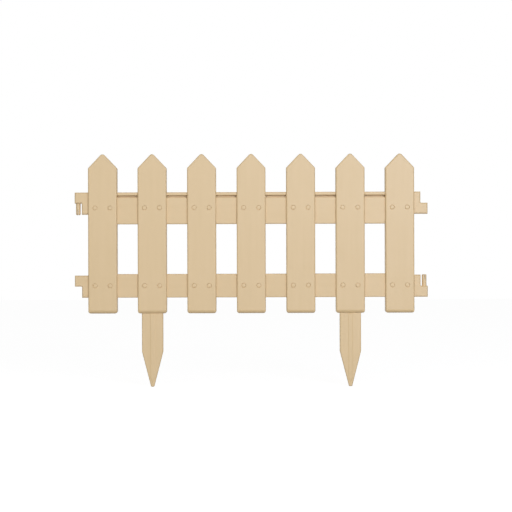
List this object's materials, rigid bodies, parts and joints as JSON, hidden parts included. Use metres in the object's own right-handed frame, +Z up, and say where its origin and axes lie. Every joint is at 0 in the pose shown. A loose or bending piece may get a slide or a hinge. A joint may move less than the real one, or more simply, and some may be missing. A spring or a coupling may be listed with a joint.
{
  "type": "garden fence panel",
  "caption": "Low border fence panel in moulded plastic: pointed pickets on two rails, pointed ground stakes, and stepped rail ends with split pins and sockets that join panels.",
  "frame": {"origin": "middle of the flat foot of the middle picket, at ground level", "axes": "+X along the panel to the right seen from the front, +Y from the front to the back, +Z up"},
  "size_m": [0.6114, 0.02, 0.4026],
  "materials": {
    "moulded_plastic": "satin, as moulded"
  },
  "bodies": {
    "root": {"picket_1": "moulded_plastic", "picket_2": "moulded_plastic", "picket_3": "moulded_plastic", "picket_4": "moulded_plastic", "picket_5": "moulded_plastic", "picket_6": "moulded_plastic", "picket_7": "moulded_plastic", "top_rail": "moulded_plastic", "bottom_rail": "moulded_plastic", "top_left_pin_end": "moulded_plastic", "top_right_socket_end": "moulded_plastic", "bottom_left_socket_end": "moulded_plastic", "bottom_right_pin_end": "moulded_plastic", "left_stake": "moulded_plastic", "right_stake": "moulded_plastic"}
  },
  "joints": []
}
